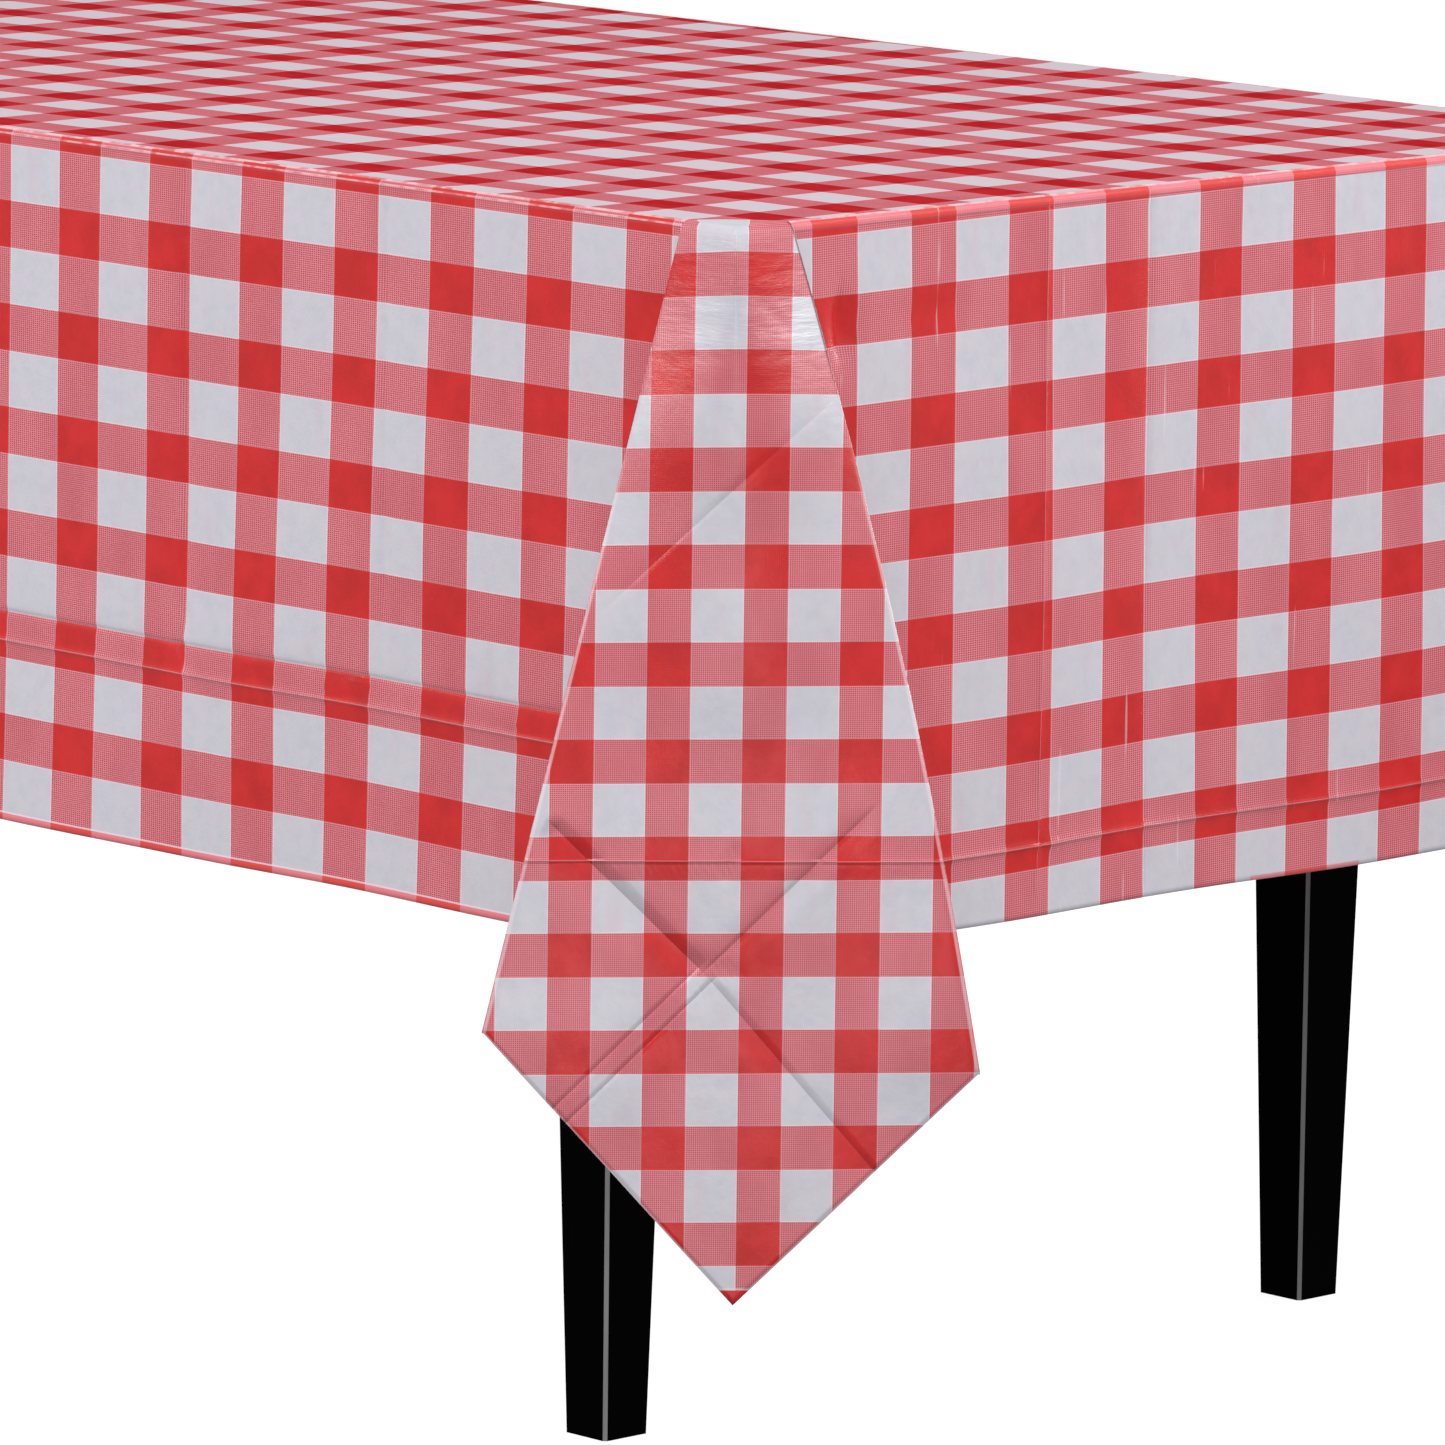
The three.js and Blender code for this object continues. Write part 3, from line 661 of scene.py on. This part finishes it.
class Graph:
    """A new material's nodes, with one short call for each kind used here."""

    def __init__(self, name):
        self.material = bpy.data.materials.new(name)
        self.material.use_nodes = True
        self.nodes = self.material.node_tree.nodes
        self.links = self.material.node_tree.links
        self.shader = self.nodes["Principled BSDF"]

    def node(self, kind, **values):
        made = self.nodes.new(kind)
        for name, value in values.items():
            setattr(made, name, value)
        return made

    def plug(self, socket, value):
        if isinstance(value, bpy.types.NodeSocket):
            self.links.new(value, socket)
        else:
            socket.default_value = value

    def math(self, operation, *values):
        made = self.node("ShaderNodeMath", operation=operation)
        for socket, value in zip(made.inputs, values):
            self.plug(socket, value)
        return made.outputs[0]

    def vector(self, operation, *values):
        made = self.node("ShaderNodeVectorMath", operation=operation)
        for socket, value in zip(made.inputs, values):
            self.plug(socket, value)
        return made.outputs["Value" if operation == "DOT_PRODUCT" else "Vector"]

    def ramp(self, value, low, high, out_low=0.0, out_high=1.0):
        made = self.node("ShaderNodeMapRange", interpolation_type="SMOOTHSTEP")
        for socket, part in zip(made.inputs, (value, low, high, out_low, out_high)):
            self.plug(socket, part)
        return made.outputs[0]

    def mix(self, share, first, second):
        made = self.node("ShaderNodeMix", data_type="RGBA")
        self.plug(made.inputs[0], share)
        self.plug(made.inputs[6], first)
        self.plug(made.inputs[7], second)
        return made.outputs[2]

    def noise(self, vector, scale, detail=3.0, roughness=0.5):
        made = self.node("ShaderNodeTexNoise")
        self.plug(made.inputs["Vector"], vector)
        made.inputs["Scale"].default_value = scale
        made.inputs["Detail"].default_value = detail
        made.inputs["Roughness"].default_value = roughness
        return made.outputs["Fac"]

    def place(self, scale=(1, 1, 1)):
        coordinates = self.node("ShaderNodeTexCoord").outputs["Object"]
        made = self.node("ShaderNodeMapping")
        self.plug(made.inputs["Vector"], coordinates)
        made.inputs["Scale"].default_value = scale
        return made.outputs[0]

    def uv(self, name):
        return self.node("ShaderNodeUVMap", uv_map=name).outputs[0]

    def split(self, vector):
        """The x, y and z of a vector."""
        made = self.node("ShaderNodeSeparateXYZ")
        self.plug(made.inputs[0], vector)
        return made.outputs

    def bump(self, height, distance, strength=1.0):
        made = self.node("ShaderNodeBump")
        made.inputs["Strength"].default_value = strength
        made.inputs["Distance"].default_value = distance
        self.plug(made.inputs["Height"], height)
        return made.outputs[0]

    def finish(self, **values):
        for name, value in values.items():
            self.plug(self.shader.inputs[name.replace("_", " ")], value)
        return self.material


# The film's colours: white, dark and light pink, red and deep red. The top takes a darker copy of
# them, as painted shade.
HANGING = [linear(191, 188, 196), linear(166, 56, 68), linear(216, 134, 143), linear(195, 31, 32),
           linear(178, 20, 22)]
# the same print, darker for the lying top: painted shade
TOP_PAINTED_SHADE = [linear(181, 169, 176), linear(156, 66, 76), linear(190, 118, 126), linear(166, 34, 40),
         linear(148, 25, 30)]
BLUSH = linear(196, 174, 186)
MOTTLE = linear(168, 172, 182)
OUTLINE = linear(226, 208, 214)
# painted highlight along the crisp middle of a ridge
RIDGE_HIGHLIGHT = linear(232, 176, 182)
STRIP_PINK = linear(222, 120, 130)
STRIP_RED = linear(214, 68, 65)
# painted highlight along the film's rounded edge over the table
RIM_HIGHLIGHT = linear(232, 196, 200)
# painted shadow for thin lines under a rounded edge
SHADE = linear(130, 84, 92)
# painted shadow along an ear's right fold
DEEP_SHADE = linear(70, 16, 36)
BAND = 0.542  # the white share of each step of the check
BAND_BLUR = 0.004  # half of the soft border of a band, as a share of a step
BAND_LINE = BAND / 2 - 0.003  # where the light outline of a band lies
THREADS = (45, 50)  # printed threads in one step, across and up
RIDGE_POWER = 1.7  # how pointed the crisp middle of a pressed fold is

# Places in the Lay map, in metres.
EAR_MIDDLE = lay_shift("ear") * MM
EAR_START = EAR_MIDDLE - 0.5
END_START = lay_shift("right") * MM
END_MIDDLE = END_START + 0.4
END_HALF = 0.6
LEG_MIDDLE = END_START + 0.490  # where the end's hem has a plain strip, over a leg
LEG_HALF = 0.048
TIP_HEIGHT = 0.1364  # top of an ear's red tip, over the floor
TIP_LINE = 0.1372

# Widths of the plain strips along a hem and a table edge, and places of the lines there, in metres.
# The lines along a table edge are painted highlights and painted shadows.
STRIP_BLUR = 0.0002
HEM_STRIP = 0.0045
HEM_LINE = 0.0050
LEG_STRIP = 0.0028
END_STRIP = 0.0054
END_SHADOW_LINE = 0.0060
RIM_HIGHLIGHT_AND_SHADOW_LINES = (0.0004, 0.0030, 0.0046)
LINE_HALF = 0.0008

# Heights of the film's fine relief, in metres.
BROAD_HANGING = 0.0022
BROAD_LYING = 0.0016
CRINKLE = 0.0005
FINE = 0.0002
THREAD = 0.00003


def fold_heights(graph, lay):
    """Height of the sharp pressed lines over the sheet, in metres, and how near a ridge is, for its
    painted highlight.
    """
    height, ridge_highlight_share = 0.0, 0.0
    for crease in CREASES:
        if crease.sharp == 0:
            continue
        half_run = (crease.end - crease.start) / 2 * MM
        shift = np.array([lay_shift(crease.region), 0])
        middle = ((crease.start + crease.end) / 2 + shift) * MM
        length = np.hypot(*half_run)
        along = half_run / length
        offset = graph.vector("SUBTRACT", lay, (*middle, 0))
        travel = graph.math("ABSOLUTE", graph.vector("DOT_PRODUCT", offset, (*along, 0)))
        off = graph.vector("DOT_PRODUCT", offset, (-along[1], along[0], 0))
        off = graph.math("MAXIMUM", graph.math("DIVIDE", off, crease.fine[0] * MM),
                         graph.math("DIVIDE", off, -crease.fine[1] * MM))
        near = graph.math("MAXIMUM", graph.math("SUBTRACT", 1.0, off), 0.0)
        peak = graph.math("POWER", near, RIDGE_POWER)
        fade = crease.fade / 2 * MM
        within = graph.ramp(travel, length - fade, length + fade, 1.0, 0.0)
        peak = graph.math("MULTIPLY", peak, within)
        height = graph.math("MULTIPLY_ADD", peak, crease.sharp * MM, height)
        if crease.height > 0:
            ridge_highlight_share = graph.math("MAXIMUM", peak, ridge_highlight_share)
    return height, ridge_highlight_share


def printed_edges(graph, colour, column, along, height):
    """The plain strips, light folds and thin lines along the edges of what hangs, with painted
    highlights and painted shadow lines along the rims and a painted shadow along an ear's right
    fold.
    """
    from_hem, from_fold, _ = graph.split(graph.uv("Edges"))
    on_ear = graph.ramp(along, EAR_START, EAR_START + 0.1)
    on_drop = graph.math("SUBTRACT", 1.0, on_ear)

    def both(first, second):
        return graph.math("MULTIPLY", first, second)

    def apart(value, place):
        return graph.math("ABSOLUTE", graph.math("SUBTRACT", value, place))

    def strip(value, width, strength=1):
        return graph.ramp(value, width - STRIP_BLUR, width + STRIP_BLUR, strength, 0)

    def line(value, place, strength, half=LINE_HALF):
        return graph.ramp(apart(value, place), half * 0.4, half, strength, 0)

    on_end = graph.math("LESS_THAN", apart(along, END_MIDDLE), END_HALF)
    on_long = graph.math("SUBTRACT", on_drop, on_end)
    plain = graph.mix(column, STRIP_PINK, STRIP_RED)

    colour = graph.mix(both(strip(from_hem, HEM_STRIP), on_long), colour, plain)
    colour = graph.mix(both(line(from_hem, HEM_LINE, 0.7), on_long), colour, OUTLINE)
    over_leg = graph.math("LESS_THAN", apart(along, LEG_MIDDLE), LEG_HALF)
    colour = graph.mix(both(strip(from_hem, LEG_STRIP, 0.8), over_leg), colour, plain)

    colour = graph.mix(both(strip(from_fold, END_STRIP, 0.7), on_end), colour, plain)
    # a painted shadow line under the end's top strip
    colour = graph.mix(both(line(from_fold, END_SHADOW_LINE, 0.4), on_end), colour, SHADE)
    # painted highlights broken along the rim, and a painted shadow line under the rim
    broken_highlight = graph.ramp(graph.noise(graph.place(), 120, 2), 0.35, 0.6, 0.3, 1)
    rim_highlight_all, rim_highlight_long = both(broken_highlight, on_drop), both(broken_highlight, on_long)
    colour = graph.mix(both(line(from_fold, RIM_HIGHLIGHT_AND_SHADOW_LINES[0], 0.7), rim_highlight_all), colour, RIM_HIGHLIGHT)
    colour = graph.mix(both(line(from_fold, RIM_HIGHLIGHT_AND_SHADOW_LINES[1], 0.5), rim_highlight_long), colour, RIM_HIGHLIGHT)
    colour = graph.mix(both(line(from_fold, RIM_HIGHLIGHT_AND_SHADOW_LINES[2], 0.3, 0.0006), on_long), colour, SHADE)

    # a light outline along an ear's folds low down and along its hem: film whitened at the turn,
    # partly a painted highlight
    low_down = graph.ramp(height, 0.56, 0.66, 1, 0)
    edge = graph.math("MAXIMUM", both(graph.ramp(from_fold, 0.0005, 0.0013, 0.4, 0), low_down),
                      graph.ramp(from_hem, 0.0006, 0.0014, 0.4, 0))
    colour = graph.mix(both(edge, on_ear), colour, OUTLINE)
    # a painted shadow along the top of an ear's right fold, where it stands off the drop
    right_half = graph.ramp(along, EAR_MIDDLE, EAR_MIDDLE + 0.01)
    at_top = both(graph.ramp(height, 0.66, 0.70), right_half)
    dark = both(graph.ramp(from_fold, 0.0005, 0.0012, 0.75, 0), at_top)
    colour = graph.mix(dark, colour, DEEP_SHADE)
    colour = graph.mix(both(strip(height, TIP_HEIGHT), on_ear), colour, HANGING[3])
    colour = graph.mix(both(line(height, TIP_LINE, 0.5), on_ear), colour, OUTLINE)
    return colour, on_ear, on_end


def printed_check(graph, colours):
    """The check's colour, its bands in one direction, its threads, and its cloudiness."""
    white, pink_dark, pink_light, red, red_deep = colours
    steps = graph.split(graph.uv("Check"))
    distances = [graph.math("PINGPONG", steps[k], 0.5) for k in (0, 1)]
    bands = [graph.ramp(d, BAND / 2 - BAND_BLUR, BAND / 2 + BAND_BLUR) for d in distances]
    either = graph.math("MAXIMUM", *bands)
    both = graph.math("MINIMUM", *bands)

    threads = []
    for k in (0, 1):
        turns = graph.math("MULTIPLY", steps[k], THREADS[k] * math.tau)
        threads.append(graph.math("SINE", turns))
    hatch = graph.ramp(graph.math("MAXIMUM", *threads), 0.1, 1.0)
    patchy = graph.noise(graph.place((1, 1, 0.35)), 26, 3)
    hatch = graph.math("MULTIPLY", hatch, graph.ramp(patchy, 0.25, 0.7, 0.7, 1.0))
    pink = graph.mix(hatch, pink_dark, pink_light)

    cloudy = graph.noise(graph.place(), 38, 4, 0.6)
    red = graph.mix(graph.ramp(cloudy, 0.3, 0.7), red, red_deep)
    streak = graph.noise(graph.place((1, 1, 0.2)), 60, 2)
    white = graph.mix(graph.ramp(streak, 0.55, 0.8, 0, 0.5), white, BLUSH)
    mottled = graph.noise(graph.place(), 95, 4, 0.7)
    white = graph.mix(graph.ramp(mottled, 0.35, 0.7, 0, 0.3), white, MOTTLE)
    colour = graph.mix(both, graph.mix(either, white, pink), red)

    lines = []
    for k in (0, 1):
        line = graph.math("ABSOLUTE", graph.math("SUBTRACT", distances[k], BAND_LINE))
        line = graph.ramp(line, 0.002, 0.009, 1, 0)
        lines.append(graph.math("MULTIPLY", line, graph.ramp(bands[1 - k], 0, 1, 0.5, 0.14)))
    colour = graph.mix(graph.math("MAXIMUM", *lines), colour, OUTLINE)
    return colour, bands[0], graph.math("MULTIPLY", hatch, either), cloudy


def hanging_marks(graph, colour, column, broad):
    """What only the hanging film has: its edges, pressed folds and crinkles, with painted
    highlights on its ridges and painted glint streaks on its ends.
    """
    lay = graph.uv("Lay")
    along, height, _ = graph.split(lay)
    colour, on_ear, on_end = printed_edges(graph, colour, column, along, height)
    folds, ridge_highlight_share = fold_heights(graph, lay)
    # a painted highlight along the ridges of the pressed folds
    ridge_highlight_share = graph.math("MULTIPLY", graph.ramp(ridge_highlight_share, 0.5, 1.0), 0.4)
    colour = graph.mix(ridge_highlight_share, colour, RIDGE_HIGHLIGHT)
    # light vertical streaks on the ends: painted glints
    glint_streaks = graph.noise(graph.place((1, 1, 0.05)), 150, 2, 0.6)
    glint_streaks = graph.ramp(glint_streaks, 0.7, 0.76, 0, 0.3)
    colour = graph.mix(graph.math("MULTIPLY", glint_streaks, on_end), colour, OUTLINE)
    crinkled = graph.noise(graph.place((1, 1, 6)), 42, 3, 0.6)
    near_top = graph.ramp(height, 0.62, 0.74)
    crinkled = graph.math("MULTIPLY", graph.math("MULTIPLY", crinkled, near_top), on_ear)
    wrinkle = graph.math("MULTIPLY_ADD", broad, BROAD_HANGING, folds)
    return colour, graph.math("MULTIPLY_ADD", crinkled, CRINKLE, wrinkle)


def film_material(name, specular, colours):
    """The printed film. The top lies flat and looks duller than what hangs: it has no shine, and
    its colours are a darker copy, as painted shade.
    """
    graph = Graph(name)
    colour, column, threads, cloudy = printed_check(graph, colours)
    broad = graph.noise(graph.place((1, 1, 0.6)), 14, 3, 0.5)
    if colours is HANGING:
        colour, wrinkle = hanging_marks(graph, colour, column, broad)
    else:
        wrinkle = graph.math("MULTIPLY", broad, BROAD_LYING)
    fine = graph.noise(graph.place(), 140, 3, 0.55)
    wrinkle = graph.math("MULTIPLY_ADD", fine, FINE, wrinkle)
    wrinkle = graph.math("MULTIPLY_ADD", threads, THREAD, wrinkle)
    normal = graph.bump(wrinkle, 1.0)
    rough = graph.ramp(cloudy, 0.2, 0.8, 0.3, 0.4)
    return graph.finish(Base_Color=colour, Roughness=rough, Normal=normal,
                        Specular_IOR_Level=specular)


def black_paint_material():
    """Satin black, with a painted grey highlight along the chamfered edges of the wood, a little
    patchy.
    """
    graph = Graph("black_paint")
    facing = graph.split(graph.node("ShaderNodeTexCoord").outputs["Normal"])
    across = [graph.math("ABSOLUTE", facing[k]) for k in (0, 1)]
    edge = graph.ramp(graph.math("MINIMUM", *across), 0.45, 0.6)
    spots = graph.noise(graph.place((1, 1, 0.08)), 220, 4, 0.6)
    chamfer_highlight = graph.math("MULTIPLY", edge, graph.ramp(spots, 0.2, 0.6, 0.75, 1.0))
    grain = graph.noise(graph.place((1, 1, 0.04)), 500, 3)
    black = graph.mix(grain, (0.0002, 0.0002, 0.0002, 1), (0.0006, 0.0006, 0.0006, 1))
    # grey on the chamfers: painted highlight
    colour = graph.mix(chamfer_highlight, black, linear(122, 122, 122))
    normal = graph.bump(grain, 0.0002, 0.5)
    rough = graph.ramp(spots, 0.2, 0.8, 0.5, 0.62)
    return graph.finish(Base_Color=colour, Roughness=rough, Normal=normal, Specular_IOR_Level=0.01)


def wood_material(name, light, dark, along, ring_scale, gloss):
    """Straight-grained wood; along is the axis the grain runs on."""
    graph = Graph(name)
    squeeze = [1.0, 1.0, 1.0]
    squeeze[along] = 0.06
    place = graph.place(tuple(squeeze))
    bend = graph.noise(place, 7, 2)
    rings = graph.noise(place, ring_scale, 4, 0.6)
    flecks = graph.noise(graph.place(tuple(0.4 if s < 1 else 1 for s in squeeze)), 380, 2)
    share = graph.ramp(graph.math("MULTIPLY_ADD", rings, 0.75, graph.math("MULTIPLY", bend, 0.25)),
                       0.35, 0.65)
    colour = graph.mix(share, light, dark)
    colour = graph.mix(graph.ramp(flecks, 0.62, 0.75, 0, 0.35), colour, dark)
    normal = graph.bump(graph.math("ADD", rings, flecks), 0.0002, 0.6)
    rough = graph.ramp(flecks, 0.3, 0.7, gloss, gloss + 0.12)
    return graph.finish(Base_Color=colour, Roughness=rough, Normal=normal)


def zinc_material():
    graph = Graph("zinc_steel")
    spangle = graph.noise(graph.place(), 700, 3)
    lines = graph.noise(graph.place((1, 1, 8)), 300, 2)
    colour = graph.mix(spangle, (0.62, 0.63, 0.65, 1), (0.74, 0.75, 0.77, 1))
    normal = graph.bump(lines, 0.00005, 0.6)
    rough = graph.ramp(spangle, 0.3, 0.7, 0.26, 0.38)
    return graph.finish(Base_Color=colour, Metallic=1.0, Roughness=rough, Normal=normal)


def finish_frame():
    """Gives each CAD node the material of its slot."""
    made = {
        "black_paint": black_paint_material(),
        "top_board": wood_material("top_board", (0.50, 0.33, 0.19, 1), (0.36, 0.22, 0.11, 1),
                                   along=0, ring_scale=60, gloss=0.35),
        "bare_beech": wood_material("bare_beech", (0.62, 0.45, 0.29, 1), (0.52, 0.35, 0.21, 1),
                                    along=1, ring_scale=90, gloss=0.55),
        "zinc_steel": zinc_material(),
    }
    for part in frame["record"]["subparts"]:
        material = made.get(part["material_slot"])
        if material:
            for slot in frame["nodes"][part["node"]].material_slots:
                slot.material = material


# ---------------------------------------------------------------- studio


ROOM = 30  # from the middle of the floor to each wall
FLOOR_GLOW = 0.93  # keeps the floor and the walls pale, whatever the lamps do


def make_floor():
    """The floor and the walls far behind it. Seen, but they throw no light on the table."""
    mesh = bpy.data.meshes.new("floor")
    corners = [(-ROOM, -ROOM), (ROOM, -ROOM), (ROOM, ROOM), (-ROOM, ROOM)]
    walls = [(k, (k + 1) % 4, (k + 1) % 4 + 4, k + 4) for k in range(4)]
    points = [(x, y, z) for z in (0, ROOM) for x, y in corners]
    mesh.from_pydata(points, [], [(0, 1, 2, 3)] + walls)
    floor = bpy.data.objects.new("floor", mesh)
    bpy.context.scene.collection.objects.link(floor)
    graph = Graph("floor_paper")
    mesh.materials.append(graph.finish(Base_Color=(0.1, 0.1, 0.1, 1), Roughness=0.9,
                                       Emission_Color=(1, 1, 1, 1), Emission_Strength=FLOOR_GLOW))
    graph.material.cycles.emission_sampling = "NONE"
    floor.visible_diffuse = False
    floor.visible_glossy = False
    floor.visible_shadow = False


WORLD_LIGHT = 0.4
LAMP_TARGET = Vector((0.4, -0.2, 0.35))
LAMP_SIZE = (2.4, 2.0)
# Name, azimuth from the front towards +X, elevation, distance and watts.
LAMPS = [
    ("front_key", -16, 34, 6, 308),
    ("side_key", 106, 34, 6, 270),
    ("low_fill", 46, 0, 9, 70),
    ("back_fill", 172, 14, 6, 205),
    ("left_fill", 262, 14, 6, 200),
]


def add_area(name, place, power):
    light = bpy.data.lights.new(name, "AREA")
    light.shape = "RECTANGLE"
    light.size, light.size_y = LAMP_SIZE
    light.energy = power
    lamp = bpy.data.objects.new(name, light)
    lamp.location = place
    lamp.rotation_euler = (LAMP_TARGET - place).to_track_quat("-Z", "Y").to_euler()
    bpy.context.scene.collection.objects.link(lamp)


def light_studio():
    scene = bpy.context.scene
    world = bpy.data.worlds.new("studio")
    world.use_nodes = True
    background = world.node_tree.nodes["Background"]
    background.inputs[0].default_value = (1, 1, 1, 1)
    background.inputs[1].default_value = WORLD_LIGHT
    scene.world = world
    scene.view_settings.view_transform = "Standard"
    for name, azimuth, elevation, distance, power in LAMPS:
        azimuth, elevation = math.radians(azimuth), math.radians(elevation)
        level = distance * math.cos(elevation)
        offset = (level * math.sin(azimuth), -level * math.cos(azimuth),
                  distance * math.sin(elevation))
        add_area(name, LAMP_TARGET + Vector(offset), power)


CAMERA_FROM_CORNER = (4.628, -4.445)  # from the table's near corner, across the floor
CAMERA_HEIGHT = 1.532
CAMERA_YAW = math.radians(46.195)
CAMERA_PITCH = math.radians(-9.377)
CAMERA_ROLL = math.radians(0.673)
CAMERA_LENS = 278.9
CAMERA_SENSOR = 36


def add_camera():
    camera = bpy.data.cameras.new("camera")
    camera.lens = CAMERA_LENS
    camera.sensor_width = CAMERA_SENSOR
    camera.clip_end = 200
    seer = bpy.data.objects.new("camera", camera)
    seer.location = (HALF_X * MM + CAMERA_FROM_CORNER[0], -HALF_Y * MM + CAMERA_FROM_CORNER[1],
                     CAMERA_HEIGHT)
    yaw = Matrix.Rotation(CAMERA_YAW, 4, "Z")
    pitch = Matrix.Rotation(math.pi / 2 + CAMERA_PITCH, 4, "X")
    roll = Matrix.Rotation(CAMERA_ROLL, 4, "Z")
    seer.rotation_euler = (yaw @ pitch @ roll).to_euler()
    bpy.context.scene.collection.objects.link(seer)
    bpy.context.scene.camera = seer


add_camera()
light_studio()
make_floor()
finish_frame()

cloth = make_cloth()
cloth.data.materials.append(film_material("cloth_film", 0.5, HANGING))
# the top's darker colours are painted shade
cloth.data.materials.append(film_material("cloth_film_top_painted_shade", 0.0, TOP_PAINTED_SHADE))
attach(cloth, "tablecloth")
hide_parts(*frame["record"]["behaviour"]["bodies"]["tablecloth"])
